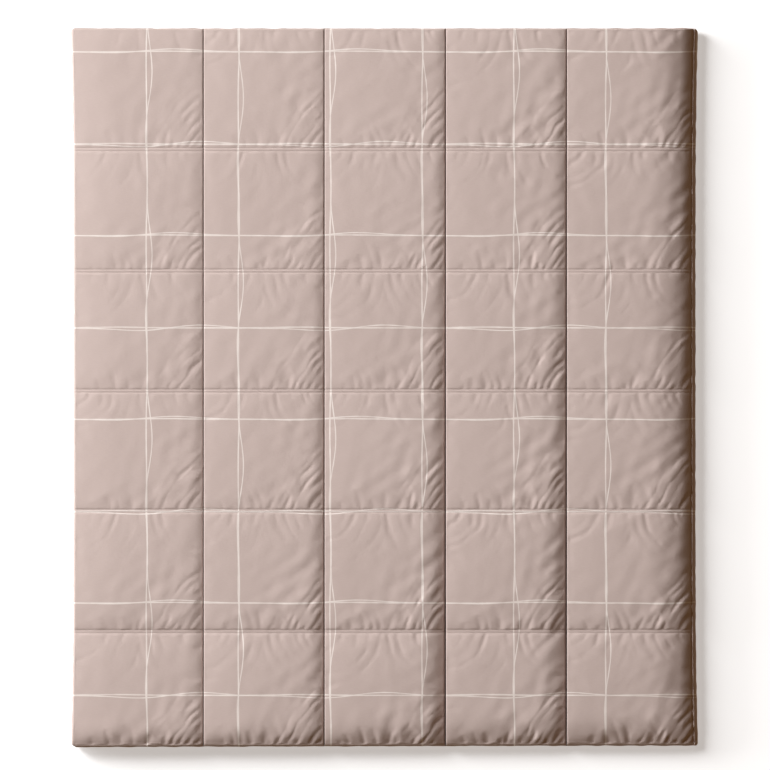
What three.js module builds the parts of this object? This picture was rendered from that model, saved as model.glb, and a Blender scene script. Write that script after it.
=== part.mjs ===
// A quilted duvet lying flat: one filled solid of boxes in columns and rows. Each box has its own crown,
// narrow sewn channels part the boxes on both faces, gathers run off the channels, and the sides are drawn
// in between flared corners. Millimetres, +Z up, origin on the surface under the middle, +Y to the head end.
import * as THREE from "three";

// Overall size
const WIDTH = 2000;
const LENGTH = 2300;
const CROWN = 90;

// Quilted boxes: widths from left to right, lengths from the foot end to the head end
const COLUMN_WIDTHS = [412, 389, 389, 389, 421];
const ROW_LENGTHS = [370, 385, 383, 383, 388, 391];

// Height of a box from its crown down to a channel
const CROWN_SPREAD = 5; // how much lower the flattest box is than the fullest
const DOME = 6; // slow fall from the middle of a box to its channels
const SHOULDER_DROP = 11; // quicker fall close to a channel
const SHOULDER_RUN = 30; // distance over which that fall dies away
const CHANNEL_TOP = 42; // sewn line on the top
const CHANNEL_UNDER = 37; // sewn line on the underside
const CHANNEL_HALF = 8; // half the width of the crease over a sewn line

// Edge: a round fall from the boxes to the edge seam, and a lower roll from there to the surface
const EDGE_SEAM = 30;
const EDGE_ROUND = 150;
const ROLL_OUT = 6;
const ROLL_PINCHED = 3; // how far the roll still stands out where a channel meets the edge
const ROLL_HEIGHT = 14;
const TURN_UNDER = 28; // from the edge seam in to where the underside touches the surface

// Plan outline of the edge seam
const DRAWN_IN = 9; // how far the sides pull in between the corners
const CORNER_FLARE = 8; // power of the curve that brings a side back out at its corners
const EDGE_PULL = 6; // power of the curve that fades the pull towards the inner boxes
const CORNER_RADIUS = 22;

// Section lines of a box on the top, counted from a seam to the middle of the box
const TOP_LINES = [
  { fromSeam: 0, gather: 0 },
  { fromSeam: CHANNEL_HALF, gather: 1.2 },
  { fromSeam: 30, gather: 2.8 },
  { fromSeam: 66, gather: 1.8 },
  { fromSeam: 110, gather: 0.8 },
  { fromSeam: 153, gather: 0.3 },
];
const MIDDLE_LINE = TOP_LINES.length;

// Section lines of a groove on the underside, as distances from its seam
const GROOVE_LINES = [
  { fromSeam: -72, height: 0, endHeight: 0 },
  { fromSeam: -26, height: 9, endHeight: 5 },
  { fromSeam: 0, height: CHANNEL_UNDER, endHeight: 14 },
  { fromSeam: 26, height: 9, endHeight: 5 },
  { fromSeam: 72, height: 0, endHeight: 0 },
];

const CLOTH = new THREE.MeshStandardMaterial({ color: 0xc9b6af, roughness: 0.93, metalness: 0 });

// Half the plan size inside the lower roll, to the edge seam at the corners
const EDGE_X = WIDTH / 2 - ROLL_OUT;
const EDGE_Y = LENGTH / 2 - ROLL_OUT;

// Places of the seams from one edge seam to the other
function seamPlaces(spans, edge) {
  const places = [-edge - ROLL_OUT];
  for (const span of spans) {
    places.push(places.at(-1) + span);
  }
  return [-edge, ...places.slice(1, -1), edge];
}

// Section lines of all boxes along one axis, with the box and half that each lies in
function sectionLines(seams) {
  const lines = [];
  for (let box = 0; box + 1 < seams.length; box += 1) {
    const half = (seams[box + 1] - seams[box]) / 2;
    const nearEdge = box === 0;
    const farEdge = box + 2 === seams.length;
    TOP_LINES.forEach(({ fromSeam }, step) => {
      lines.push({ at: seams[box] + fromSeam, box, farHalf: 0, step, fromSeam, half, atEdge: nearEdge });
    });
    lines.push({ at: seams[box] + half, box, farHalf: 0, step: MIDDLE_LINE, fromSeam: half, half, atEdge: false });
    for (let step = MIDDLE_LINE - 1; step > 0; step -= 1) {
      const { fromSeam } = TOP_LINES[step];
      lines.push({ at: seams[box + 1] - fromSeam, box, farHalf: 1, step, fromSeam, half, atEdge: farEdge });
    }
  }
  lines.push({ ...lines.at(-1), at: seams.at(-1), step: 0, fromSeam: 0 });
  return lines;
}

// Fall from the crown towards a channel, without the crease at the sewn line; none towards the edge
function fall({ fromSeam, half, atEdge }) {
  const toMiddle = 1 - fromSeam / half;
  const shoulder = SHOULDER_DROP * Math.exp(-fromSeam / SHOULDER_RUN);
  return atEdge ? 0 : shoulder + DOME * toMiddle ** 2;
}

// Share of the height that is left at a distance from the edge seam, as a quarter of an ellipse
function edgeRound({ fromSeam, atEdge }) {
  const toInside = 1 - Math.min(fromSeam / EDGE_ROUND, 1);
  return atEdge ? Math.sqrt(1 - toInside ** 2) : 1;
}

// A fixed spread between 0 and 1 that makes boxes and gathers uneven
function spread(...counts) {
  const turned = counts.reduce((sum, count, place) => sum + (count + 1) * (2.1 + 1.7 * place), 0.4);
  return 0.5 + 0.5 * Math.sin(turned * turned);
}

// Height that the gathers add: ridges and troughs cross a seam squarely and turn round the box's corners
function gather(across, along) {
  const nearest = Math.min(across.step, along.step);
  const ring = Math.max(across.step, along.step);
  if (nearest === MIDDLE_LINE) {
    return 0;
  }
  const side = ring % 2 === 0 ? 1 : -1;
  const uneven = 0.4 + 0.6 * spread(across.box, along.box, across.farHalf + 2 * along.farHalf, ring);
  return side * uneven * TOP_LINES[nearest].gather;
}

// A point of the plan moved to the real outline: sides drawn in, corners flared and rounded
function planPoint(x, y) {
  const shareX = Math.abs(x) / EDGE_X;
  const shareY = Math.abs(y) / EDGE_Y;
  const flareX = Math.min(Math.abs(x) / (EDGE_X - CORNER_RADIUS), 1) ** CORNER_FLARE;
  const flareY = Math.min(Math.abs(y) / (EDGE_Y - CORNER_RADIUS), 1) ** CORNER_FLARE;
  let outX = Math.abs(x) - DRAWN_IN * shareX ** EDGE_PULL * (1 - flareY);
  let outY = Math.abs(y) - DRAWN_IN * shareY ** EDGE_PULL * (1 - flareX);
  const pastX = outX - (EDGE_X - CORNER_RADIUS);
  const pastY = outY - (EDGE_Y - CORNER_RADIUS);
  const reach = Math.hypot(pastX, pastY);
  if (pastX > 0 && pastY > 0 && reach > CORNER_RADIUS) {
    outX += pastX * (CORNER_RADIUS / reach - 1);
    outY += pastY * (CORNER_RADIUS / reach - 1);
  }
  return [Math.sign(x) * outX, Math.sign(y) * outY];
}

// Points and triangles of the whole skin
const points = [];
const triangles = [];

function addPoint(x, y, z) {
  points.push(new THREE.Vector3(x, y, z));
  return points.length - 1;
}

// Top face: crowns, channels, gathers and the round fall to the edge seam
function topPoint(across, along) {
  const onChannel = [across, along].some(({ step, atEdge }) => step === 0 && !atEdge);
  const crown = CROWN - CROWN_SPREAD * spread(across.box, along.box);
  const cloth = crown - fall(across) - fall(along) + gather(across, along);
  const inner = onChannel ? CHANNEL_TOP : cloth;
  const height = EDGE_SEAM + (inner - EDGE_SEAM) * edgeRound(across) * edgeRound(along);
  return addPoint(...planPoint(across.at, along.at), height);
}

// Section lines of the underside along one axis: the two turned edges and the lines of every groove
function underLines(seams) {
  const grooves = seams.slice(1, -1).flatMap((seam) =>
    GROOVE_LINES.map(({ fromSeam, height, endHeight }) => ({ at: seam + fromSeam, height, endHeight })),
  );
  const turned = seams.at(-1) - TURN_UNDER;
  const edge = { height: 0, endHeight: 0, atEdge: true };
  return [{ ...edge, at: -turned }, ...grooves, { ...edge, at: turned }];
}

// Underside: flat under every box, with a groove under every channel that runs out under the roll
function underPoint(across, along) {
  const height = along.atEdge ? across.endHeight : across.height;
  const other = across.atEdge ? along.endHeight : along.height;
  return addPoint(...planPoint(across.at, along.at), Math.max(height, other));
}

// Triangles of a face whose points stand in rows, with the choice of each square's diagonal
function skinFace(grid, facesUp, diagonalFalls) {
  for (let row = 0; row + 1 < grid.length; row += 1) {
    for (let column = 0; column + 1 < grid[row].length; column += 1) {
      const near = [grid[row][column], grid[row][column + 1]];
      const far = [grid[row + 1][column + 1], grid[row + 1][column]];
      const [a, b, c, d] = facesUp ? [...near, ...far] : [...near, ...far].toReversed();
      if (diagonalFalls(row, column)) {
        triangles.push([a, b, d], [b, c, d]);
      } else {
        triangles.push([a, b, c], [a, c, d]);
      }
    }
  }
}

// The four sides of a face's border, each from corner to corner, anticlockwise seen from above
function borderSides(grid) {
  const left = grid.map((row) => row[0]);
  const right = grid.map((row) => row.at(-1));
  return [grid[0], right, grid.at(-1).toReversed(), left.toReversed()];
}

// How far the lower roll stands out: full along a box and at the corners, pinched where a channel ends
function rollOut(line) {
  const pinch = 1 - Math.exp(-line.fromSeam / SHOULDER_RUN);
  return line.atEdge ? ROLL_OUT : ROLL_PINCHED + (ROLL_OUT - ROLL_PINCHED) * pinch;
}

// Lower roll below the edge seam, given as a closed run of points with the distance each one moves out
function rollPoints(edge, distances) {
  return edge.map((point, place) => {
    const { x, y } = points[point];
    const before = points[edge.at(place - 1)];
    const after = points[edge[(place + 1) % edge.length]];
    const outward = new THREE.Vector2(after.y - before.y, before.x - after.x).setLength(distances[place]);
    return addPoint(x + outward.x, y + outward.y, ROLL_HEIGHT);
  });
}

// Skin between two borders that run along the same side
function skinBand(upper, lower) {
  const start = points[upper[0]];
  const run = points[upper.at(-1)].clone().sub(start);
  const along = (point) => points[point].clone().sub(start).dot(run);
  let high = 0;
  let low = 0;
  while (high + 1 < upper.length || low + 1 < lower.length) {
    const highNext = high + 1 < upper.length ? along(upper[high + 1]) : Infinity;
    const lowNext = low + 1 < lower.length ? along(lower[low + 1]) : Infinity;
    if (highNext <= lowNext) {
      triangles.push([upper[high], lower[low], upper[high + 1]]);
      high += 1;
    } else {
      triangles.push([upper[high], lower[low], lower[low + 1]]);
      low += 1;
    }
  }
}

function buildDuvet() {
  const seamsX = seamPlaces(COLUMN_WIDTHS, EDGE_X);
  const seamsY = seamPlaces(ROW_LENGTHS, EDGE_Y);

  const across = sectionLines(seamsX);
  const along = sectionLines(seamsY);
  const top = along.map((v) => across.map((u) => topPoint(u, v)));
  skinFace(top, true, (row, column) => across[column].farHalf === along[row].farHalf);

  const underAcross = underLines(seamsX);
  const under = underLines(seamsY).map((v) => underAcross.map((u) => underPoint(u, v)));
  skinFace(under, false, () => true);

  const seamSides = borderSides(top);
  const edge = seamSides.flatMap((side) => side.slice(0, -1));
  const sideLines = [across, along, across.toReversed(), along.toReversed()];
  const distances = sideLines.flatMap((lines) => lines.slice(0, -1).map(rollOut));
  const roll = rollPoints(edge, distances);
  const underSides = borderSides(under);
  let first = 0;
  seamSides.forEach((side, turn) => {
    const last = first + side.length - 1;
    const rollSide = [...roll.slice(first, last), roll[last % roll.length]];
    skinBand(side, rollSide);
    skinBand(rollSide, underSides[turn]);
    first = last;
  });

  const geometry = new THREE.BufferGeometry().setFromPoints(points);
  geometry.setIndex(triangles.flat());
  geometry.computeVertexNormals();
  const mesh = new THREE.Mesh(geometry, CLOTH);
  mesh.name = "duvet";
  return mesh;
}

const part = new THREE.Group();
part.add(buildDuvet());

export default part;
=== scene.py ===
"""Dresses the quilted duvet: cotton cover with its gathers and print, quilting stitches, plain studio."""

import logging
import math
from dataclasses import dataclass, field
from enum import Enum
from itertools import product

import bpy
import numpy as np
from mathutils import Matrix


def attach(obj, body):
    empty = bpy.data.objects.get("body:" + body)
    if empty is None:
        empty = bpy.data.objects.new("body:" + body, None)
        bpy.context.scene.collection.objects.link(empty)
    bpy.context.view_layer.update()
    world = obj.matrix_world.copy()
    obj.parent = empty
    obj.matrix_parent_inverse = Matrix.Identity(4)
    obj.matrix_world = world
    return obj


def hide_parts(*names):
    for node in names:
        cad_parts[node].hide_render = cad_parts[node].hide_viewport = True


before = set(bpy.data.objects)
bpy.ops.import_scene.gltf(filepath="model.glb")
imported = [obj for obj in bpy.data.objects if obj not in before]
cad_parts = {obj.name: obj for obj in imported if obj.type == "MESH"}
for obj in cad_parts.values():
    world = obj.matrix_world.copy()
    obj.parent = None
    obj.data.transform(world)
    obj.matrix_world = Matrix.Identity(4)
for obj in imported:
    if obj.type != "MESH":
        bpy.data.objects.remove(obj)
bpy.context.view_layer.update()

LOG = logging.getLogger("duvet")
# Distance to a seam or edge that isn't there, and the shortest wave of a swell as a share of its longest.
FAR = 1e3
SHORTEST_WAVE = 0.45
WHITE = (1.0, 1.0, 1.0, 1.0)

Span = tuple[float, float]
Place = tuple[float, float, float]
Colour = tuple[float, float, float, float]
Face = list[int] | tuple[int, ...]
Inputs = dict[int | str, object]
Sockets = dict[str, bpy.types.NodeSocket]


class Axis(Enum):
    """The two directions in which channels are sewn."""

    ACROSS = 0
    ALONG = 1


def smooth_step(value: np.ndarray, start: float, end: float) -> np.ndarray:
    """Eased ramp from 0 at start to 1 at end."""
    share = np.clip((value - start) / (end - start), 0, 1)
    return share * share * (3 - 2 * share)


@dataclass(frozen=True)
class SectionLines:
    """Lines across the cover along one axis, with the box each lies in and its way to the box's seams."""

    place: np.ndarray
    box: np.ndarray
    to_low: np.ndarray
    to_high: np.ndarray
    boxes: int

    @property
    def half(self) -> np.ndarray:
        """Half the span of each line's box."""
        return (self.to_low + self.to_high) / 2

    @property
    def channel_low(self) -> np.ndarray:
        """Distance to the channel on the low side, far where that side is the edge."""
        return np.where(self.box > 0, self.to_low, FAR)

    @property
    def channel_high(self) -> np.ndarray:
        """Distance to the channel on the high side, far where that side is the edge."""
        return np.where(self.box < self.boxes - 1, self.to_high, FAR)

    @property
    def edge_low(self) -> np.ndarray:
        """Distance to the low edge of the duvet, far in the other boxes."""
        return np.where(self.box == 0, self.to_low, FAR)

    @property
    def edge_high(self) -> np.ndarray:
        """Distance to the high edge of the duvet, far in the other boxes."""
        return np.where(self.box == self.boxes - 1, self.to_high, FAR)

    @property
    def channel(self) -> np.ndarray:
        """Distance to the nearest channel."""
        return np.minimum(self.channel_low, self.channel_high)

    @property
    def near(self) -> np.ndarray:
        """Distance to the nearest channel or edge."""
        return np.minimum(self.to_low, self.to_high)

    def span(self, box: int) -> slice:
        """The lines of one box with the seams on both its sides."""
        inside = np.flatnonzero(self.box == box)
        return slice(max(inside[0] - 1, 0), inside[-1] + 1)


@dataclass(frozen=True)
class LinePitches:
    """Spacing of section lines in a box, which is finer on the side where the cloth is gathered most."""

    wide: float
    fine: float
    fine_reach: float = 0.120
    fine_until: float = 0.7
    wide_from: float = 1.5
    samples: int = 400

    def between(self, start: float, end: float, gathered: float) -> np.ndarray:
        """Places of the lines between two ends.

        Args:
            start: Last close line on the low side.
            end: First close line on the high side.
            gathered: Place of the seam with the most gathers.

        Returns:
            The places in rising order, without the ends.
        """
        way = np.linspace(start, end, self.samples)
        fine_end, wide_start = self.fine_until * self.fine_reach, self.wide_from * self.fine_reach
        far = smooth_step(np.abs(way - gathered), fine_end, wide_start)
        density = 1 / (self.fine + (self.wide - self.fine) * far)
        count = np.concatenate([[0.0], np.cumsum((density[1:] + density[:-1]) / 2 * np.diff(way))])
        return np.interp(np.linspace(0, count[-1], round(count[-1]) + 1), count, way)[1:-1]


@dataclass(frozen=True)
class QuiltPlan:
    """Plan of the duvet: its outline and the boxes between the sewn channels, in metres."""

    width: float = 2.000
    length: float = 2.300
    columns: tuple[float, ...] = (0.4192, 0.3860, 0.3875, 0.3865, 0.4208)
    rows: tuple[float, ...] = (0.370, 0.385, 0.383, 0.383, 0.388, 0.391)
    insets: tuple[Span, ...] = ((-0.0010, 0.0016), (0.0040, 0.0044))
    drawn_sides: float = 0.0080
    drawn_ends: float = 0.0010
    foot_skew: float = 0.0024
    corner_flare: float = 5.0
    edge_pull: float = 6.0
    corner_radius: float = 0.011

    def half(self, axis: Axis) -> float:
        """Half the plan size to the border of the top panel."""
        return (self.width, self.length)[axis.value] / 2 - sum(self.insets[axis.value]) / 2

    def middle(self, axis: Axis) -> float:
        """Middle of the top panel, which reaches less far out where the edge below it shows."""
        low, high = self.insets[axis.value]
        return (low - high) / 2

    def seams(self, axis: Axis, inset: float = 0.0) -> np.ndarray:
        """Places of the edge, the channels and the other edge.

        Args:
            axis: Direction in which the boxes follow each other.
            inset: How far the two edges move in from the border of the top panel.

        Returns:
            The places in rising order.
        """
        spans = (self.columns, self.rows)[axis.value]
        places = np.cumsum((0.0,) + spans) - sum(spans) / 2
        places[0] = self.middle(axis) - self.half(axis) + inset
        places[-1] = self.middle(axis) + self.half(axis) - inset
        return places

    def lines(
        self, axis: Axis, near: np.ndarray, edge: np.ndarray, pitches: LinePitches, inset: float = 0.0
    ) -> SectionLines:
        """Section lines through all boxes of one axis.

        Args:
            axis: Direction in which the boxes follow each other.
            near: Distances from a channel of the close lines beside it, from zero.
            edge: Distances from an edge of the close lines beside it, from zero.
            pitches: Spacing of the other lines of a box.
            inset: How far the two edges move in from the border of the top panel.

        Returns:
            The lines in rising order, each seam once.
        """
        seams = self.seams(axis, inset)
        places, boxes = [], []
        for box, (low, high) in enumerate(zip(seams[:-1], seams[1:])):
            first = low + (edge if box == 0 else near)
            last = (high - (edge if box == len(seams) - 2 else near))[::-1]
            middle = pitches.between(first[-1], last[0], low if axis is Axis.ALONG else high)
            run = np.concatenate([first, middle, last])
            run = run if box == 0 else run[1:]
            places.append(run)
            boxes.append(np.full(len(run), box))
        place, box = np.concatenate(places), np.concatenate(boxes)
        return SectionLines(place, box, place - seams[box], seams[box + 1] - place, len(seams) - 1)

    def outline(self, x: np.ndarray, y: np.ndarray) -> tuple[np.ndarray, np.ndarray]:
        """Moves plan points to the real outline, with drawn-in sides and flared round corners.

        Args:
            x: Places across the duvet.
            y: Places along the duvet.

        Returns:
            The moved places across and along.
        """
        edge_x, edge_y, radius = self.half(Axis.ACROSS), self.half(Axis.ALONG), self.corner_radius
        off_x, off_y = x - self.middle(Axis.ACROSS), y - self.middle(Axis.ALONG)
        far_x, far_y = np.abs(off_x), np.abs(off_y)
        flare_x = np.minimum(far_x / (edge_x - radius), 1) ** self.corner_flare
        flare_y = np.minimum(far_y / (edge_y - radius), 1) ** self.corner_flare
        out_x = far_x - self.drawn_sides * (far_x / edge_x) ** self.edge_pull * (1 - flare_y)
        skew = np.where(off_y < 0, self.foot_skew * off_x / edge_x, 0)
        out_y = far_y - (self.drawn_ends * (1 - flare_x) + skew) * (far_y / edge_y) ** self.edge_pull
        past_x = np.maximum(out_x - (edge_x - radius), 0)
        past_y = np.maximum(out_y - (edge_y - radius), 0)
        reach = np.maximum(np.hypot(past_x, past_y), radius)
        in_corner = (past_x > 0) & (past_y > 0)
        out_x += np.where(in_corner, past_x * (radius / reach - 1), 0)
        out_y += np.where(in_corner, past_y * (radius / reach - 1), 0)
        return x + np.sign(off_x) * (out_x - far_x), y + np.sign(off_y) * (out_y - far_y)


@dataclass(frozen=True)
class EdgeRing:
    """One ring of the wall: way out of the top panel's border, share of its height and size of puckers."""

    out: float
    share: float
    pucker: float


@dataclass(frozen=True)
class EdgeTurn:
    """How the top panel turns down at one edge: a soft slope over a run, then a tight turn at the border.

    A roll between the two is steeper than the slope. The share kept is what is left of the tight turn's
    height for the wall below the border.
    """

    soft: float
    run: float
    tight: float
    power: float = 2.2
    keep: float = 0.0
    roll: float = 0.0
    roll_run: float = 0.035
    roll_power: float = 2.2

    def share(self, away: np.ndarray) -> np.ndarray:
        """Share of the height above the edge seam that is left near the border.

        Args:
            away: Distances from the border.

        Returns:
            The share at each distance, 1 where the turn has ended.
        """
        slope = 1 - (1 - np.minimum(away / self.run, 1)) ** self.power
        turn = np.sqrt(1 - (1 - np.minimum(away / self.tight, 1)) ** 2)
        roll = 1 - (1 - np.minimum(away / self.roll_run, 1)) ** self.roll_power
        rest = 1 - self.soft - self.roll
        return self.soft * slope + self.roll * roll + rest * (self.keep + (1 - self.keep) * turn)


def sampled(grid: np.ndarray, row: np.ndarray, column: np.ndarray) -> np.ndarray:
    """Values of a grid between its points.

    Args:
        grid: The values at whole rows and columns.
        row: Rows to read, in whole and part steps.
        column: Columns to read, in whole and part steps.

    Returns:
        The values, on smooth curves between the points.
    """

    def weights(part: np.ndarray) -> list[np.ndarray]:
        """Shares of the four points round a place, in a cubic curve that runs smoothly through them all.

        Args:
            part: Part of a step past the second point.

        Returns:
            The share of each point.
        """
        return [
            part * (-0.5 + part * (1 - 0.5 * part)),
            1 + part * part * (1.5 * part - 2.5),
            part * (0.5 + part * (2 - 1.5 * part)),
            part * part * (0.5 * part - 0.5),
        ]

    wide = np.pad(grid, 2, mode="edge")
    row, column = np.clip(row, 0, grid.shape[0] - 1), np.clip(column, 0, grid.shape[1] - 1)
    low_row, low_column = np.floor(row).astype(int), np.floor(column).astype(int)
    up, over = weights(row - low_row), weights(column - low_column)
    total = np.zeros(np.broadcast(row, column).shape)
    for rise, step in product(range(len(up)), range(len(over))):
        total += up[rise] * over[step] * wide[low_row + 1 + rise, low_column + 1 + step]
    return total


def swell(
    draws: np.random.Generator,
    x: np.ndarray,
    y: np.ndarray,
    longest: float,
    count: int,
    heading: float = 0.0,
    spread: float = 2 * math.pi,
) -> np.ndarray:
    """Soft uneven swell as a sum of waves, between about -1 and 1.

    Args:
        draws: Source of the fixed random draws.
        x: Places across the duvet.
        y: Places along the duvet.
        longest: Length of the longest wave.
        count: Number of waves in the sum.
        heading: Middle of the ways in which the waves run.
        spread: Angle over which those ways spread.

    Returns:
        The swell at each place.
    """
    total = np.zeros(np.broadcast(x, y).shape)
    for _ in range(count):
        turn, phase = heading + spread * draws.uniform(-0.5, 0.5), draws.uniform(0, 2 * math.pi)
        wave = 2 * math.pi / (longest * draws.uniform(SHORTEST_WAVE, 1))
        total += np.sin(wave * (x * math.cos(turn) + y * math.sin(turn)) + phase)
    return total / math.sqrt(count)


def squares(grid: np.ndarray, up: bool) -> list[Face]:
    """Faces between the points of a grid.

    Args:
        grid: Point numbers by row and column.
        up: Whether the faces look up.

    Returns:
        The four corners of each face.
    """
    a, b, c, d = grid[:-1, :-1], grid[:-1, 1:], grid[1:, 1:], grid[1:, :-1]
    corners = (a, b, c, d) if up else (d, c, b, a)
    return np.stack([part.ravel() for part in corners], axis=1).tolist()


def new_piece(name: str, points: np.ndarray, faces: list[Face], soft: list[bool]) -> bpy.types.Object:
    """Makes a mesh object and links it to the scene.

    Args:
        name: Name of the object and of its mesh.
        points: Its points.
        faces: Point numbers of each face.
        soft: Whether each face is shaded smooth.

    Returns:
        The object.
    """
    mesh = bpy.data.meshes.new(name)
    mesh.from_pydata(points.tolist(), [], faces)
    mesh.polygons.foreach_set("use_smooth", np.array(soft))
    made = bpy.data.objects.new(name, mesh)
    bpy.context.scene.collection.objects.link(made)
    return made


def discard(made: bpy.types.Object) -> None:
    """Removes a mesh object that was only needed on the way.

    Args:
        made: The object.
    """
    mesh = made.data
    bpy.data.objects.remove(made)
    bpy.data.meshes.remove(mesh)


@dataclass(frozen=True)
class TroughRow:
    """A row of troughs: least and greatest spacing, width, run from the seam and depth there."""

    close: float
    wide: float
    width: float
    run: float
    gain: float


@dataclass(frozen=True)
class ClothStuff:
    """How the cloth gives way while it settles, and for how many frames it does."""

    quality: int = 4
    mass: float = 0.3
    stretch: float = 15.0
    shear: float = 5.0
    bending: float = 3.0
    air: float = 2.0
    pressure: float = 0.5
    frames: int = 15

    def settle(self, sheet: bpy.types.Object, sewn: str, tight: str, extra: float) -> np.ndarray:
        """Lets a sheet settle with the cloth simulation.

        Args:
            sheet: The sheet as it starts.
            sewn: Name of the vertex group that stays in place.
            tight: Name of the vertex group whose weight says how little the cloth grows.
            extra: Share by which it grows where that weight is 0.

        Returns:
            The settled points.
        """
        cloth = sheet.modifiers.new("settle", "CLOTH").settings
        cloth.quality = self.quality
        cloth.mass = self.mass
        cloth.tension_stiffness = cloth.compression_stiffness = self.stretch
        cloth.shear_stiffness = self.shear
        cloth.bending_stiffness = self.bending
        cloth.air_damping = self.air
        cloth.vertex_group_mass = sewn
        cloth.vertex_group_shrink = tight
        cloth.shrink_max = 0.0
        cloth.shrink_min = -extra
        cloth.use_pressure = True
        cloth.uniform_pressure_force = self.pressure
        cloth.effector_weights.gravity = 0
        for step in range(1, self.frames + 1):
            bpy.context.scene.frame_set(step)
        settled = sheet.evaluated_get(bpy.context.evaluated_depsgraph_get())
        places = np.zeros(len(sheet.data.vertices) * 3, np.float32)
        settled.data.vertices.foreach_get("co", places)
        bpy.context.scene.frame_set(1)
        return places.reshape(-1, 3)


@dataclass
class SewnSheet:
    """Sheet of cloth with some extra length, sewn down round a few boxes and left to settle into gathers."""

    boxes_across: int = 3
    boxes_along: int = 3
    box: float = 0.386
    steps: int = 76
    seed: int = 7
    stuff: ClothStuff = ClothStuff()
    # Fall of the smooth sheet to its seams, and its slight unevenness.
    shoulder: float = 0.010
    shoulder_run: float = 0.030
    wall: float = 0.010
    wall_run: float = 0.006
    uneven: float = 0.0002
    uneven_length: float = 0.14
    uneven_waves: int = 24
    # First troughs, by corner of the box, and the spread of their places and sizes.
    at_drawn_corner: TroughRow = TroughRow(0.018, 0.027, 0.0064, 0.042, 0.9)
    at_foot: TroughRow = TroughRow(0.024, 0.050, 0.0066, 0.042, 0.9)
    at_head: TroughRow = TroughRow(0.022, 0.046, 0.0074, 0.110, 0.75)
    first_at: Span = (0.012, 0.024)
    width_spread: Span = (0.8, 1.2)
    depth_spread: Span = (0.25, 1.0)
    length_spread: Span = (0.35, 1.6)
    seed_depth: float = 0.0026
    waver: float = 0.0028
    reach_step: float = 0.001
    left_gain: float = 0.1
    right_gain: float = 0.4
    side_run: float = 0.035
    fade_power: float = 1.5
    corner_gain: float = 0.3
    corner_run: float = 0.10
    seam_clear: Span = (0.002, 0.010)
    # Soft patches in which the troughs are shallower.
    patch_length: float = 0.110
    patch_waves: int = 20
    patch_floor: float = 0.30
    patch_ramp: Span = (-0.8, 0.7)
    # The drawn corner, at the right of the foot, where the gathers slant.
    corner_start: float = 0.085
    corner_end: float = 0.185
    slant: float = 1.4
    slant_ease: float = 0.2
    straightness: float = 1.25
    # Share of the extra cloth beside each seam, which grows to the right along the foot.
    extra: float = 0.035
    zone: float = 0.050
    corner_share: float = 0.50
    foot_share: float = 0.10
    foot_growth: float = 0.40
    foot_ramp: float = 1.4
    head_share: float = 0.10
    left_share: float = 0.02
    right_share: float = 0.10
    # What is taken from the settled sheet.
    even_steps: int = 9
    move_cap: float = 0.0045
    ridge_cap: float = 0.0020

    def __post_init__(self) -> None:
        """Sets out the lines of the sheet and the fixed random draws."""
        self.draws = np.random.default_rng(self.seed)
        self.across = np.linspace(0, self.box * self.boxes_across, self.steps * self.boxes_across + 1)
        self.along = np.linspace(0, self.box * self.boxes_along, self.steps * self.boxes_along + 1)

    def to_seam(self, lines: np.ndarray) -> np.ndarray:
        """Distance of lines of the sheet from the nearest sewn line."""
        return np.abs(lines - self.box * np.round(lines / self.box))

    def drop(self, lines: np.ndarray) -> np.ndarray:
        """Fall of the cloth towards the nearest sewn line.

        Args:
            lines: Places of lines of the sheet.

        Returns:
            The fall at each line.
        """
        away = self.to_seam(lines)
        wall = self.wall * (1 - np.minimum(away / self.wall_run, 1))
        return self.shoulder * np.exp(-away / self.shoulder_run) + wall

    def blocks(self) -> list[tuple[slice, slice]]:
        """Finds the boxes in the sheet.

        Returns:
            The rows and columns of each box with the seams on all its sides, row by row.
        """
        found = []
        for row, column in product(range(self.boxes_along), range(self.boxes_across)):
            low, left = row * self.steps, column * self.steps
            found.append((slice(low, low + self.steps + 1), slice(left, left + self.steps + 1)))
        return found

    def ways(self) -> tuple[np.ndarray, ...]:
        """Distances of the points of a box from its left, right, foot and head seam."""
        side = np.arange(self.steps + 1) * self.box / self.steps
        return side[None, :], side[None, ::-1], side[:, None], side[::-1, None]

    def slanted(self) -> np.ndarray:
        """Distance from the drawn corner that is even along its slanting, nearly straight gathers.

        Returns:
            The distance by row and column of a box.
        """
        _, right, foot, _ = self.ways()
        power = self.straightness
        joined = ((self.slant * right) ** power + foot**power) ** (1 / power)
        return joined / (self.slant + self.slant_ease)

    def drawn_corner(self) -> np.ndarray:
        """How much a point belongs to the drawn corner, by row and column of a box."""
        return 1 - smooth_step(self.slanted(), self.corner_start, self.corner_end)

    def troughs(self, reach: np.ndarray, row: TroughRow) -> tuple[np.ndarray, np.ndarray]:
        """Depth and length of a quarter box's first troughs against the distance from the box's corner.

        Args:
            reach: Distances from the corner.
            row: Spacing and width of the troughs.

        Returns:
            The depth at each distance, and the share of the full length to which a trough there runs.
        """
        depth, places, lengths = np.zeros_like(reach), [], []
        at = self.draws.uniform(*self.first_at)
        while at < reach[-1]:
            width = self.draws.uniform(*self.width_spread) * row.width
            depth += self.draws.uniform(*self.depth_spread) * np.exp(-(((reach - at) / width) ** 2))
            places.append(at)
            lengths.append(self.draws.uniform(*self.length_spread))
            at += self.draws.uniform(row.close, row.wide)
        return depth, np.interp(reach, places, lengths)

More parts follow.
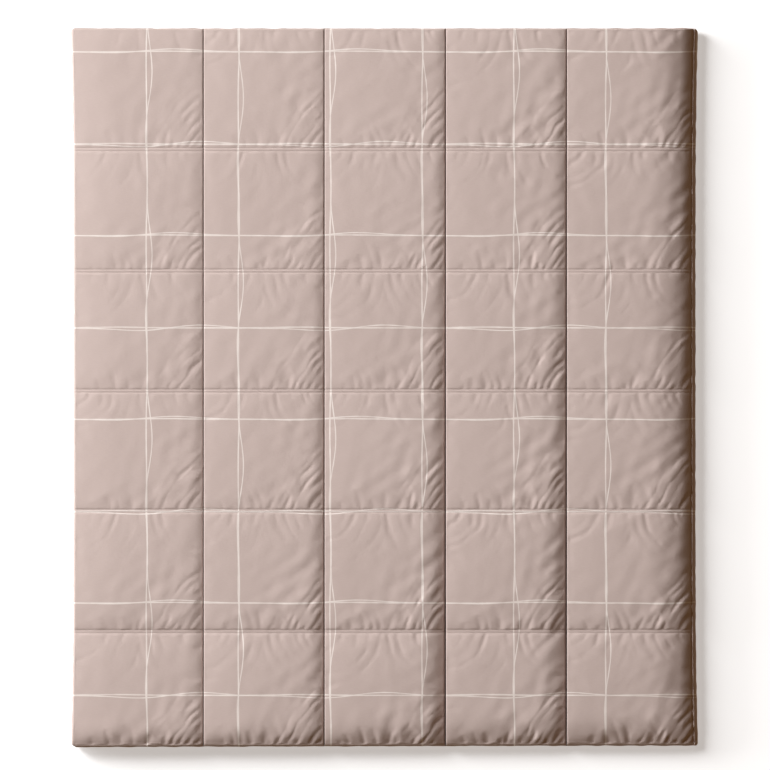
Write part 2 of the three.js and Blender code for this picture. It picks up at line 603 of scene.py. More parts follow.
    def first_troughs(self, uneven: np.ndarray) -> np.ndarray:
        """Lays the first troughs of one box, quarter by quarter.

        Args:
            uneven: Swell of the sheet in the box, by which the troughs waver.

        Returns:
            The share of the full depth, by row and column of the box.
        """
        left, right, foot, head = self.ways()
        reach = np.arange(0, self.box, self.reach_step)
        sides = ((left, self.left_gain), (right, self.right_gain))
        ends = ((foot, self.at_foot), (head, self.at_head))
        share = np.zeros(uneven.shape)
        for (p, side_gain), (q, row) in product(sides, ends):
            at_drawn = p is right and q is foot
            row = self.at_drawn_corner if at_drawn else row
            away = (self.slanted() if at_drawn else np.hypot(p, q)) + self.waver * uneven
            depths, lengths = self.troughs(reach, row)
            run = row.run * np.interp(away, reach, lengths)
            from_end = row.gain * np.exp(-((q / run) ** self.fade_power))
            from_side = side_gain * np.exp(-((p / self.side_run) ** self.fade_power))
            if at_drawn:
                corner = self.drawn_corner()
            else:
                corner = self.corner_gain * row.gain * np.exp(-((away / self.corner_run) ** 2))
            depth = np.interp(away, reach, depths) * np.maximum(np.maximum(from_end, from_side), corner)
            share = np.where((p <= self.box / 2) & (q <= self.box / 2), depth, share)
        return share

    def extra_share(self) -> np.ndarray:
        """Share of the extra cloth in a box.

        Returns:
            The share by row and column of the box.
        """
        left, right, foot, head = self.ways()
        along_foot = self.foot_share + self.foot_growth * np.minimum(self.foot_ramp * left / self.box, 1)
        return np.maximum.reduce(np.broadcast_arrays(
            np.exp(-((foot / self.zone) ** 2)) * along_foot,
            self.head_share * np.exp(-((head / self.at_head.run) ** 2)),
            self.left_share * np.exp(-((left / self.zone) ** 2)),
            self.right_share * np.exp(-((right / self.zone) ** 2)),
            self.corner_share * self.drawn_corner(),
        ))

    def lay_out(self) -> tuple[np.ndarray, np.ndarray, np.ndarray]:
        """Works out the sheet before it settles.

        Returns:
            The smooth heights, the depth of the first troughs and the share of extra cloth, by point.
        """
        x, y = np.meshgrid(self.across, self.along)
        smooth = -self.drop(self.across)[None, :] - self.drop(self.along)[:, None]
        uneven = swell(self.draws, x, y, self.uneven_length, self.uneven_waves)
        patches = swell(self.draws, x, y, self.patch_length, self.patch_waves)
        first, extra, share = np.zeros(x.shape), np.zeros(x.shape), self.extra_share()
        for block in self.blocks():
            first[block] = self.first_troughs(uneven[block])
            extra[block] = share
        first *= self.patch_floor + (1 - self.patch_floor) * smooth_step(patches, *self.patch_ramp)
        near = np.minimum(self.to_seam(self.across)[None, :], self.to_seam(self.along)[:, None])
        clear = smooth_step(near, *self.seam_clear)
        return smooth + self.uneven * uneven, self.seed_depth * first * clear, extra

    def settle(self) -> np.ndarray:
        """Lets the sheet settle, sewn down along its seams.

        Returns:
            How far each point moved up or down from the smooth sheet, by row and column.
        """
        smooth, first, extra = self.lay_out()
        x, y = np.meshgrid(self.across, self.along)
        points = np.stack([x, y, smooth - first], axis=-1).reshape(-1, 3)
        grid = np.arange(len(points)).reshape(smooth.shape)
        faces = squares(grid, up=True)
        sheet = new_piece("sewn_sheet", points, faces, [True] * len(faces))
        sewn, tight = sheet.vertex_groups.new(name="sewn"), sheet.vertex_groups.new(name="tight")
        on_seam = np.zeros(smooth.shape, bool)
        on_seam[:: self.steps, :] = on_seam[:, :: self.steps] = True
        sewn.add(grid[on_seam].tolist(), 1.0, "REPLACE")
        level = np.round(1 - extra, 2)
        for value in np.unique(level):
            tight.add(grid[level == value].tolist(), float(value), "REPLACE")
        settled = self.stuff.settle(sheet, sewn.name, tight.name, self.extra)
        discard(sheet)
        LOG.info("sewn_sheet: %d points settled", len(points))
        return settled[:, 2].reshape(smooth.shape) - smooth

    def evened(self, profile: np.ndarray) -> np.ndarray:
        """Smooths a profile of a box over a few steps.

        Args:
            profile: Values along one side of the box.

        Returns:
            The smoothed values.
        """
        weight = np.hanning(self.even_steps + 2)[1:-1]
        wide = np.pad(profile, self.even_steps // 2, mode="edge")
        return np.convolve(wide, weight / weight.sum(), mode="valid")

    def pleats(self) -> list[np.ndarray]:
        """Moves of the first troughs in each box, before the sheet settles."""
        depth = self.lay_out()[1]
        return [-depth[block] for block in self.blocks()]

    def gathers(self) -> list[np.ndarray]:
        """Moves of the settled cloth in each box, without the even swell of the box.

        Returns:
            The moves by row and column of each box, with capped heights and lowered ridges.
        """
        moves, found = self.settle(), []
        for block in self.blocks():
            box = moves[block]
            up, across = self.evened(np.median(box, axis=1)), self.evened(np.median(box, axis=0))
            even = up[:, None] + across[None, :] - np.median(box)
            found.append(np.clip(box - even, -self.move_cap, self.ridge_cap))
        return found


@dataclass
class DuvetCover:
    """The filled cover: crowned boxes, sewn channels, gathers, edge seam and flat underside."""

    plan: QuiltPlan = field(default_factory=QuiltPlan)
    sheet: SewnSheet = field(default_factory=SewnSheet)
    fine_sheet: SewnSheet = field(default_factory=lambda: SewnSheet(steps=152))
    heights: np.ndarray = field(init=False, repr=False)
    seed: int = 11
    # Fullness of the boxes, with thinner filling at the foot.
    crown: float = 0.088
    crown_spread: float = 0.003
    dome: float = 0.0015
    ease: float = 0.0002
    ease_length: float = 0.14
    ease_waves: int = 14
    foot_thinning: float = 0.010
    foot_thinning_run: float = 0.370
    foot_thinning_left: float = 0.35
    # Channels that run up the duvet, from left to right, and what each gains towards the foot.
    shade_slope: tuple[float, ...] = (0.115, 0.184, 0.30, 0.38)
    slope_growth: tuple[float, ...] = (0.30, 0.378, 0.55, 0.31)
    shade_run: tuple[float, ...] = (0.080, 0.064, 0.055, 0.068)
    run_growth: tuple[float, ...] = (0.011, 0.034, 0.078, 0.077)
    shade_power: float = 4.0
    lit_across: float = 0.0018
    lit_growth: float = 0.0012
    lit_limit: float = 0.5
    lit_run: float = 0.045
    rim: float = 0.0005
    rim_run: float = 0.0015
    wall_across: tuple[float, ...] = (0.0030, 0.0030, 0.0030, 0.0030)
    wall_growth: tuple[float, ...] = (0.0030, 0.0050, 0.0055, 0.0055)
    wall_run_shade: tuple[float, ...] = (0.0028, 0.0028, 0.0034, 0.0034)
    wall_run_growth: tuple[float, ...] = (0.0004, 0.0004, 0.0020, 0.0020)
    wall_run_lit: float = 0.0018
    wall_power_shade: float = 1.4
    wall_power_lit: float = 1.2
    slot: tuple[float, ...] = (0.0010, 0.0015, 0.0020, 0.0020)
    slot_growth: tuple[float, ...] = (0.0015, 0.0030, 0.0065, 0.0065)
    slot_half: float = 0.0018
    # Channels that run across the duvet, from the foot up, each a strip between two rows of stitches.
    shade_along: tuple[float, ...] = (0.0080, 0.0045, 0.0030, 0.0016, 0.0010)
    shade_run_along: float = 0.030
    lit_run_along: float = 0.075
    wall_along: float = 0.0009
    wall_run_along: float = 0.0060
    strip_half: float = 0.0046
    strip_crown: float = 0.0006
    strip_end: Span = (0.010, 0.020)
    stitch_dip: float = 0.0009
    stitch_width: float = 0.0012
    # Slanting ripples in the fall to the channels and to the right edge.
    seam_ripple: float = 0.12
    edge_ripple: float = 0.042
    ripple_length: float = 0.105
    ripple_fade: float = 0.50
    ripple_ramp: Span = (-0.6, 0.9)
    ripple_slant: float = 0.9
    ripple_reach: float = 0.150
    ripple_shift: float = 1.7
    ripple_waves: int = 10
    ripple_spread: float = 0.5
    # Turn of the top panel at each edge, the welt of the edge seam and the wall below.
    edge_seam: float = 0.024
    welt_at: float = 0.0089
    welt_groove_at: float = 0.0140
    welt_width: float = 0.0018
    welt_right: float = 0.0030
    welt_foot: float = 0.0002
    turn_left: EdgeTurn = EdgeTurn(0.10, 0.160, 0.0032, keep=0.90)
    turn_right: EdgeTurn = EdgeTurn(0.61, 0.185, 0.0064, 3.0, roll=0.31, roll_run=0.056)
    turn_foot_left: EdgeTurn = EdgeTurn(0.32, 0.080, 0.0024, 2.6, 0.48)
    turn_foot_right: EdgeTurn = EdgeTurn(0.58, 0.115, 0.0024, 2.6, 0.36)
    turn_head: EdgeTurn = EdgeTurn(0.05, 0.080, 0.0032, keep=0.90)
    full_ramp: Span = (0.3, 0.9)
    full_rings: tuple[EdgeRing, ...] = (
        EdgeRing(0.0009, 0.92, 0.0003),
        EdgeRing(0.0016, 0.78, 0.0006),
        EdgeRing(0.0008, 0.60, 0.0010),
        EdgeRing(-0.0014, 0.42, 0.0012),
        EdgeRing(-0.0052, 0.25, 0.0015),
        EdgeRing(-0.0100, 0.12, 0.0012),
        EdgeRing(-0.0150, 0.04, 0.0006),
    )
    flush_rings: tuple[EdgeRing, ...] = (
        EdgeRing(0.0010, 0.90, 0.0003),
        EdgeRing(0.0020, 0.72, 0.0006),
        EdgeRing(0.0014, 0.575, 0.0006),
        EdgeRing(0.0026, 0.53, 0.0006),
        EdgeRing(0.0004, 0.47, 0.0008),
        EdgeRing(-0.0034, 0.25, 0.0015),
        EdgeRing(-0.0125, 0.07, 0.0010),
    )
    printed_rings: int = 4
    pucker_length: float = 0.070
    pucker_waves: int = 12
    # Underside, whose grooves run out towards the edge.
    under_groove: float = 0.022
    under_run: float = 0.075
    under_inset: float = 0.023
    under_end: float = 0.35
    under_end_run: float = 0.09
    # Gathers and soft wrinkles, stronger to the right and to the foot.
    gather_start: float = 0.40
    gather_right: float = 0.13
    gather_foot: float = 0.06
    gather_gain: float = 0.50
    pleat_gain: float = 0.50
    foot_gain: float = 0.7
    foot_gain_end: Span = (0.020, 0.070)
    held_along: Span = (0.003, 0.009)
    held_across: Span = (0.001, 0.008)
    lean: float = 0.6
    lean_steps: int = 3
    light_way: Span = (-0.84, 0.54)
    wrinkle: float = 0.00060
    wrinkle_length: float = 0.085
    wrinkle_waves: int = 18
    wrinkle_heading: float = -0.6
    wrinkle_spread: float = 1.0
    wrinkle_right: float = 0.6
    wrinkle_foot: float = 0.4
    wrinkle_ramp: Span = (0.25, 0.80)
    # Section lines: their spacing, and those that lie close beside a channel or an edge.
    top_pitches: LinePitches = LinePitches(0.0050, 0.0031)
    under_pitches: LinePitches = LinePitches(0.060, 0.060)
    near_across: tuple[float, ...] = (0.0, 0.0009, 0.0018, 0.0024, 0.0045, 0.0080)
    near_along: tuple[float, ...] = (0.0, 0.0026, 0.0046, 0.0070, 0.0100)
    near_edge: tuple[float, ...] = (
        0.0, 0.0004, 0.0012, 0.0022, 0.0035, 0.0050, 0.0064,
        0.0077, 0.0089, 0.0101, 0.0115, 0.0130, 0.0146, 0.0166,
    )
    under_lines: tuple[float, ...] = (0.0, 0.005, 0.014, 0.030, 0.052, 0.075)

    def __post_init__(self) -> None:
        """Sets out the section lines of both panels and the fixed random draws."""
        edge, under = np.array(self.near_edge), np.array(self.under_lines)
        self.across = self.plan.lines(Axis.ACROSS, np.array(self.near_across), edge, self.top_pitches)
        self.along = self.plan.lines(Axis.ALONG, np.array(self.near_along), edge, self.top_pitches)
        self.under_across = self.plan.lines(Axis.ACROSS, under, under, self.under_pitches, self.under_inset)
        self.under_along = self.plan.lines(Axis.ALONG, under, under, self.under_pitches, self.under_inset)
        self.draws = np.random.default_rng(self.seed)

    def fall_across(self) -> tuple[np.ndarray, np.ndarray]:
        """Fall towards the channels that run up the duvet, deeper towards the foot.

        Returns:
            The soft shoulders and the steep walls, by row and column.
        """
        lines = self.across
        to_foot = (1 - self.along.place[:, None] / self.plan.half(Axis.ALONG)) / 2

        def grown(start: tuple[float, ...], growth: tuple[float, ...]) -> np.ndarray:
            """Value at each channel that changes evenly towards the foot, by row and channel."""
            first, more = np.append(start, start[-1]), np.append(growth, 0.0)
            return first[None, :] + more[None, :] * to_foot

        slope = grown(self.shade_slope, self.slope_growth)
        run = grown(self.shade_run, self.run_growth)
        wall = grown(self.wall_across, self.wall_growth)
        deep = slope * run / self.shade_power
        lit = np.minimum(self.lit_across + self.lit_growth * to_foot, self.lit_limit * (deep + wall))
        high, low = lines.box, lines.box - 1
        to_high, to_low = lines.channel_high[None, :], lines.channel_low[None, :]
        uneven = self.rippled(lines.channel_high, self.seam_ripple)
        shade = (1 - np.minimum(uneven / run[:, high], 1)) ** self.shade_power
        soft = deep[:, high] * shade + lit[:, low] * np.exp(-to_low / self.lit_run)
        soft = soft + self.rim * np.exp(-np.maximum(to_low - self.wall_run_lit, 0) / self.rim_run)
        soft = soft + self.dome * (1 - np.minimum(lines.channel / lines.half, 1))[None, :] ** 2
        wall_run = grown(self.wall_run_shade, self.wall_run_growth)[:, high]
        shaded = wall[:, high] * (1 - np.minimum(to_high / wall_run, 1)) ** self.wall_power_shade
        steep = (1 - np.minimum(to_low / self.wall_run_lit, 1)) ** self.wall_power_lit
        rise = (deep + wall - lit)[:, low] * steep
        slot = grown(self.slot, self.slot_growth)
        pulled = slot[:, high] * (1 - np.minimum(to_high / self.slot_half, 1))
        pulled = pulled + slot[:, low] * (1 - np.minimum(to_low / self.slot_half, 1))
        return soft, shaded + rise + pulled

    def fall_along(self) -> tuple[np.ndarray, np.ndarray]:
        """Fall towards the channels that run across the duvet.

        Returns:
            The soft shoulders and the stitched strip, by row.
        """
        lines = self.along
        deep = np.array((0.0,) + self.shade_along + (0.0,))
        soft = deep[lines.box] * np.exp(-lines.channel_low / self.shade_run_along)
        soft = soft + deep[lines.box + 1] * np.exp(-lines.channel_high / self.lit_run_along)
        soft = soft + self.dome * (1 - np.minimum(lines.channel / lines.half, 1)) ** 2
        end = self.strip_half + self.wall_run_along
        wall = self.wall_along * (1 - smooth_step(lines.channel, self.strip_half, end))
        stitched = self.stitch_dip * np.exp(-(((lines.channel - self.strip_half) / self.stitch_width) ** 2))
        strip = self.strip_crown * np.clip(1 - (lines.channel / self.strip_half) ** 2, 0, 1)
        return soft[:, None], (wall + stitched - strip)[:, None]

    def leaning(self, pleats: np.ndarray, up: np.ndarray, over: np.ndarray) -> np.ndarray:
        """Lays the fine pleats on a box, with each trough leaning to the light.

        Args:
            pleats: Moves of the upright pleats by row and column of the sheet's box.
            up: Share of the way from the foot seam to the head seam.
            over: Share of the way from the left seam to the right seam.

        Returns:
            The moves by row and column.
        """
        steps, step = self.fine_sheet.steps, self.fine_sheet.box / self.fine_sheet.steps
        light_x, light_y = self.light_way
        moves = sampled(pleats, up * steps, over * steps)
        for _ in range(self.lean_steps):
            shift = self.lean * np.maximum(-moves, 0) / step
            moves = sampled(pleats, up * steps - light_y * shift, over * steps - light_x * shift)
        return moves

    def gathers(self) -> np.ndarray:
        """Moves of the gathered cloth, whose troughs lean to the light, and its soft wrinkles.

        Returns:
            The moves of the top panel by row and column.
        """
        across, along = self.across, self.along
        settled, pleats = self.sheet.gathers(), self.fine_sheet.pleats()
        wrinkles = swell(
            self.draws, across.place[None, :], along.place[:, None], self.wrinkle_length, self.wrinkle_waves,
            self.wrinkle_heading, self.wrinkle_spread,
        )
        wide, high = self.sheet.boxes_across, self.sheet.boxes_along
        moves = np.zeros(wrinkles.shape)
        for row, column in product(range(along.boxes), range(across.boxes)):
            # Each box takes one of the sheet's boxes, in an order that changes from row to row.
            pick = (column + 2 * (row // high)) % wide + wide * ((row + column // wide) % high)
            in_y, in_x = along.box == row, across.box == column
            up = (along.to_low[in_y] / (2 * along.half[in_y]))[:, None]
            over = (across.to_low[in_x] / (2 * across.half[in_x]))[None, :]
            broad = sampled(settled[pick], up * self.sheet.steps, over * self.sheet.steps)
            fine = self.leaning(pleats[pick], up, over)
            block = np.ix_(in_y, in_x)
            way = self.wrinkle_right * over + self.wrinkle_foot * (1 - up)
            drawn = self.wrinkle * smooth_step(way, *self.wrinkle_ramp) * wrinkles[block]
            gain = self.gather_start + self.gather_right * column + self.gather_foot * (along.boxes - 1 - row)
            moves[block] = gain * (self.gather_gain * broad + self.pleat_gain * fine + drawn)
        at_foot = 1 - smooth_step(along.edge_low, *self.foot_gain_end)
        held_y = smooth_step(along.near, *self.held_along) * (1 + self.foot_gain * at_foot)
        return moves * held_y[:, None] * smooth_step(across.near, *self.held_across)[None, :]

    def top_heights(self) -> np.ndarray:
        """Heights of the top panel at each crossing of the section lines.

        Returns:
            The heights by row and column.
        """
        across, along = self.across, self.along
        x, y = across.place[None, :], along.place[:, None]
        fullness = self.draws.uniform(-1, 1, (along.boxes, across.boxes))[np.ix_(along.box, across.box)]
        swell_x = 1 - (1 - across.near / across.half) ** 2
        swell_y = 1 - (1 - along.near / along.half) ** 2
        crown = self.crown + self.crown_spread / 2 * fullness * swell_x[None, :] * swell_y[:, None]
        to_right = smooth_step(x, -self.plan.half(Axis.ACROSS), self.plan.half(Axis.ACROSS))
        to_edge = (1 - np.minimum(along.edge_low / self.foot_thinning_run, 1)) ** 2
        thinned = self.foot_thinning_left + (1 - self.foot_thinning_left) * to_right
        thin = self.foot_thinning * thinned * to_edge[:, None]
        soft_x, wall_x = self.fall_across()
        soft_y, wall_y = self.fall_along()
        cloth = crown - thin - soft_x - soft_y - np.maximum(wall_x, wall_y)
        cloth += self.ease * swell(self.draws, x, y, self.ease_length, self.ease_waves)
        right = self.turn_right.share(self.rippled(across.edge_high, self.edge_ripple))
        sides = self.turn_left.share(across.edge_low)[None, :] * right
        foot_left = self.turn_foot_left.share(along.edge_low)
        foot_right = self.turn_foot_right.share(along.edge_low)
        foot = foot_left[:, None] * (1 - to_right) + foot_right[:, None] * to_right
        ends = foot * self.turn_head.share(along.edge_high)[:, None]
        turned = self.edge_seam + (cloth - self.edge_seam) * sides * ends
        turned = turned - wall_y * (1 - right) * smooth_step(across.edge_high, *self.strip_end)[None, :]
        welt_right = self.welt_right * self.welt(across.edge_high)
        welt_foot = self.welt_foot * self.welt(along.edge_low)
        return turned + self.gathers() + welt_right[None, :] + welt_foot[:, None]

    def rippled(self, away: np.ndarray, share: float) -> np.ndarray:
        """Makes the fall towards a seam or edge uneven, with ripples that slant away from it.

        Args:
            away: Distance of each section line from the seam or edge.
            share: Share of the distance by which a ripple changes it.

        Returns:
            The distances that the fall goes by, by row and column.
        """
        near = np.minimum(away, self.ripple_reach)[None, :]
        slanting = self.along.place[:, None] + self.ripple_slant * near
        slanting = slanting + self.ripple_shift * self.across.box[None, :]
        draws = np.random.default_rng(self.seed)
        uneven, slow = [
            swell(draws, np.zeros(1), slanting, length, self.ripple_waves, math.pi / 2, self.ripple_spread)
            for length in (self.ripple_length, self.ripple_fade)
        ]
        return away[None, :] * (1 + share * uneven * smooth_step(slow, *self.ripple_ramp))

    def welt(self, away: np.ndarray) -> np.ndarray:
        """Relief of the welt of the edge seam and the groove beside it at a distance from the border."""
        bead = np.exp(-(((away - self.welt_at) / self.welt_width) ** 2))
        return bead - np.exp(-(((away - self.welt_groove_at) / self.welt_width) ** 2))

    def under_heights(self, across: SectionLines, along: SectionLines) -> np.ndarray:
        """Heights of the underside: flat under each box, with a round groove under each channel.

        Args:
            across: Section lines across the duvet.
            along: Section lines along the duvet.

        Returns:
            The heights by row and column.
        """

        def groove(lines: SectionLines) -> np.ndarray:
            """Height of the groove beside a channel."""
            share = 1 - np.minimum(lines.channel / self.under_run, 1)
            return self.under_groove * (1 - np.sqrt(1 - share**2))

        def run_out(lines: SectionLines) -> np.ndarray:
            """How much of a groove is left towards the edge."""
            inside = smooth_step(np.minimum(lines.edge_low, lines.edge_high), 0, self.under_end_run)
            return self.under_end + (1 - self.under_end) * inside

        high_x = groove(across)[None, :] * run_out(along)[:, None]
        high_y = groove(along)[:, None] * run_out(across)[None, :]
        return np.maximum(high_x, high_y)

    @staticmethod
    def border(grid: np.ndarray) -> list[np.ndarray]:
        """The four sides of a grid's border, corner to corner, anticlockwise from the first row."""
        return [grid[0], grid[:, -1], grid[-1, ::-1], grid[::-1, 0]]

    @staticmethod
    def band(upper: np.ndarray, lower: np.ndarray, points: np.ndarray) -> list[Face]:
        """Triangles between two runs of points with unlike counts that follow the same side.

        Args:
            upper: Point numbers of the upper run.
            lower: Point numbers of the lower run.
            points: All points.

        Returns:
            The triangles, facing out on an anticlockwise side.
        """
        run = points[upper[-1], :2] - points[upper[0], :2]
        high_at, low_at = points[upper, :2] @ run, points[lower, :2] @ run
        faces, high, low = [], 0, 0
        while high + 1 < len(upper) or low + 1 < len(lower):
            high_next = high_at[high + 1] if high + 1 < len(upper) else math.inf
            low_next = low_at[low + 1] if low + 1 < len(lower) else math.inf
            if high_next <= low_next:
                faces.append((upper[high], lower[low], upper[high + 1]))
                high += 1
            else:
                faces.append((upper[high], lower[low], lower[low + 1]))
                low += 1
        return faces

    def loop(self, grid: np.ndarray) -> np.ndarray:
        """Point numbers round the border of a grid, each once."""
        return np.concatenate([side[:-1] for side in self.border(grid)])

    def outward(self, plan_points: np.ndarray) -> np.ndarray:
        """Ways out of the border of the whole top panel.

        Args:
            plan_points: Plan places of the top panel by row and column.

        Returns:
            The way across, the way along and the share of the full side's edge, none inside the border.
        """
        rows, columns, _ = plan_points.shape
        loop = self.loop(np.arange(rows * columns).reshape(rows, columns))
        edge = plan_points.reshape(-1, 2)[loop]
        tangent = np.roll(edge, -1, axis=0) - np.roll(edge, 1, axis=0)
        normal = np.stack([tangent[:, 1], -tangent[:, 0]], axis=1)
        normal /= np.linalg.norm(normal, axis=1, keepdims=True)
        out = np.zeros((rows * columns, 3))
        out[loop] = np.column_stack([normal, smooth_step(normal[:, 0], *self.full_ramp)])
        return out.reshape(rows, columns, 3)

    def build(self) -> list[bpy.types.Object]:
        """Makes the cover, one closed mesh for each column of boxes, which meet in the sewn creases.

        Returns:
            The columns from left to right.
        """
        self.heights = self.top_heights()
        x, y = self.plan.outline(*np.meshgrid(self.across.place, self.along.place))
        top = np.stack([x, y, self.heights], axis=-1)
        out = self.outward(top[..., :2])
        floor = self.under_heights(self.across, self.along)
        under_x, under_y = self.plan.outline(*np.meshgrid(self.under_across.place, self.under_along.place))
        under = np.stack([under_x, under_y, self.under_heights(self.under_across, self.under_along)], axis=-1)
        columns = []
        for column in range(self.across.boxes):
            part, below = self.across.span(column), self.under_across.span(column)
            columns.append(self.column(column, top[:, part], out[:, part], floor[:, part], under[:, below]))
        return columns

    def wall_rings(
        self, edge: np.ndarray, outward: np.ndarray, floor: np.ndarray
    ) -> tuple[list[np.ndarray], list[np.ndarray]]:
        """Sets out the rings of points down the wall of one column of boxes.

        Args:
            edge: Points round the border of its top panel.
            outward: Way out of the duvet and share of the full edge at each, none inside the duvet.
            floor: Height of the underside below each.

        Returns:
            The points of each ring from the top, and their places on the flat cloth.
        """
        outer, full = np.any(outward != 0, axis=1), outward[:, 2]
        draws = np.random.default_rng(self.seed)
        puckered = swell(draws, edge[:, 0], edge[:, 1], self.pucker_length, self.pucker_waves)
        points, cloth = [], []
        last, length = edge, np.zeros(len(edge))
        for place, (wide, flush) in enumerate(zip(self.full_rings, self.flush_rings), start=1):
            inside = edge[:, 2] + (floor - edge[:, 2]) * place / (len(self.full_rings) + 1)
            share = flush.share + (wide.share - flush.share) * full
            pucker = flush.pucker + (wide.pucker - flush.pucker) * full
            reach = flush.out + (wide.out - flush.out) * full + pucker * puckered
            height = np.where(outer, edge[:, 2] * share, inside)
            ring = np.column_stack([edge[:, :2] + outward[:, :2] * reach[:, None], height])
            length = length + np.linalg.norm(ring - last, axis=1)
            last = ring
            points.append(ring)
            cloth.append(edge[:, :2] + outward[:, :2] * length[:, None])
        return points, cloth

    def column(
        self, number: int, top: np.ndarray, out: np.ndarray, floor: np.ndarray, under: np.ndarray
    ) -> bpy.types.Object:
        """Makes the closed mesh of one column of boxes.

        Args:
            number: Place of the column from the left, from zero.
            top: Points of the top panel by row and column.
            out: Ways out of the duvet's border and shares of the full edge, by row and column.
            floor: Heights of the underside below the points of the top panel.
            under: Points of the underside by row and column.

        Returns:
            The column, with the printed panel in material slot 0 and the plain one in slot 1.
        """
        grid = np.arange(top[..., 0].size).reshape(top.shape[:2])
        loop = self.loop(grid)
        outward = out.reshape(-1, 3)[loop]
        walls, wall_cloth = self.wall_rings(top.reshape(-1, 3)[loop], outward, floor.ravel()[loop])
        points = np.concatenate([top.reshape(-1, 3), *walls, under.reshape(-1, 3)])
        cloth = np.concatenate([top[..., :2].reshape(-1, 2), *wall_cloth, under[..., :2].reshape(-1, 2)])
        rings = [loop] + [grid.size + place * len(loop) + np.arange(len(loop)) for place in range(len(walls))]
        below = len(points) - under[..., 0].size + np.arange(under[..., 0].size).reshape(under.shape[:2])

        faces = squares(grid, up=True)
        soft = [True] * len(faces)
        printed = len(faces) + self.printed_rings * len(loop)
        outer = np.any(outward != 0, axis=1)
        for upper, lower in zip(rings[:-1], rings[1:]):
            faces += np.stack([upper, lower, np.roll(lower, -1), np.roll(upper, -1)], axis=1).tolist()
            soft += (outer | np.roll(outer, -1)).tolist()
        lowest, start = rings[-1], 0
        hidden = (False, number < self.across.boxes - 1, False, number > 0)
        for top_side, under_side, inside in zip(self.border(grid), self.border(below), hidden):
            end = start + len(top_side) - 1
            side = np.append(lowest[start:end], lowest[end % len(lowest)])
            band = self.band(side, under_side, points)
            faces += band
            soft += [not inside] * len(band)
            start = end
        bottom = squares(below, up=False)
        faces += bottom
        soft += [True] * len(bottom)

        made = new_piece(f"cover_column_{number + 1}", points, faces, soft)
        panel = np.ones(len(faces), np.int32)
        panel[:printed] = 0
        made.data.polygons.foreach_set("material_index", panel)
        corners = np.zeros(len(made.data.loops), np.int32)
        made.data.loops.foreach_get("vertex_index", corners)
        flat = made.data.uv_layers.new(name="cloth")
        flat.data.foreach_set("uv", cloth[corners].astype(np.float32).ravel())
        LOG.info("%s: %d points, %d faces", made.name, len(points), len(faces))
        return made

    def dress(self, columns: list[bpy.types.Object]) -> None:
        """Gives the columns their printed and plain cotton, hangs them on the root body and hides the CAD
        duvet.

        Args:
            columns: The columns from left to right.
        """
        weave = PlainWeave().group()
        # Places of the sewn creases, where the printed cotton gets painted shade.
        creases = tuple(self.plan.seams(Axis.ACROSS)[1:-1].tolist())
        printed = CottonFinish("printed_cotton", check=PrintedCheck(), creases=creases).material(weave)
        plain = CottonFinish("plain_cotton").material(weave)
        for column in columns:
            column.data.materials.append(printed)
            column.data.materials.append(plain)
            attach(column, "root")
            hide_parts("duvet")


class NodeSheet:
    """Short calls for laying out shader nodes in one tree."""

    def __init__(self, tree: bpy.types.NodeTree) -> None:
        """Keeps the tree that the nodes go into."""
        self.tree = tree

    def plug(self, node: bpy.types.Node, inputs: Inputs) -> None:
        """Links outputs to sockets of a node, or sets the sockets' plain values.

        Args:
            node: The node.
            inputs: What goes into its sockets, by number or name.
        """
        for name, value in inputs.items():
            if isinstance(value, bpy.types.NodeSocket):
                self.tree.links.new(value, node.inputs[name])
            else:
                node.inputs[name].default_value = value

    def node(self, kind: str, inputs: Inputs | None = None, **settings: object) -> bpy.types.Node:
        """Adds a node.

        Args:
            kind: Type of the node.
            inputs: What goes into its sockets, by number or name.
            settings: Its properties.

        Returns:
            The node.
        """
        made = self.tree.nodes.new(kind)
        for name, value in settings.items():
            setattr(made, name, value)
        self.plug(made, inputs or {})
        return made

    def math(self, operation: str, *values: object) -> bpy.types.NodeSocket:
        """Output of a new math node that is fed with values."""
        return self.node("ShaderNodeMath", dict(enumerate(values)), operation=operation).outputs[0]

    def ramp(self, value: object, low: object, high: object) -> bpy.types.NodeSocket:
        """Output of a new eased ramp from 0 at low to 1 at high."""
        inputs = dict(enumerate((value, low, high, 0.0, 1.0)))
        return self.node("ShaderNodeMapRange", inputs, interpolation_type="SMOOTHSTEP").outputs[0]

    def mix(self, share: object, low: object, high: object) -> bpy.types.NodeSocket:
        """Output of a new mix of two colours, which go into the node's sockets 6 and 7."""
        return self.node("ShaderNodeMix", {0: share, 6: low, 7: high}, data_type="RGBA").outputs[2]

    def blend(self, share: object, low: object, high: object) -> bpy.types.NodeSocket:
        """Output of a new mix of two shaders."""
        return self.node("ShaderNodeMixShader", {0: share, 1: low, 2: high}).outputs[0]

    def noise(self, place: object, scale: float, detail: float = 2.0) -> bpy.types.NodeSocket:
        """Value of a new noise texture."""
        inputs = {"Vector": place, "Scale": scale, "Detail": detail}
        return self.node("ShaderNodeTexNoise", inputs).outputs["Fac"]

    def relief(self, height: object, strength: float, depth: float) -> bpy.types.NodeSocket:
        """Normal of a new bump node."""
        inputs = {"Strength": strength, "Distance": depth, "Height": height}
        return self.node("ShaderNodeBump", inputs).outputs[0]

    def parts(self, vector: object) -> list[bpy.types.NodeSocket]:
        """Three parts of a vector, from a new node that splits it."""
        return list(self.node("ShaderNodeSeparateXYZ", {0: vector}).outputs)


def new_material(name: str) -> tuple[bpy.types.Material, NodeSheet, bpy.types.Node]:
    """Starts a material.

    Args:
        name: Name of the material.

    Returns:
        The material, the sheet of its nodes and its Principled shader.
    """
    made = bpy.data.materials.new(name)
    made.use_nodes = True
    return made, NodeSheet(made.node_tree), made.node_tree.nodes["Principled BSDF"]


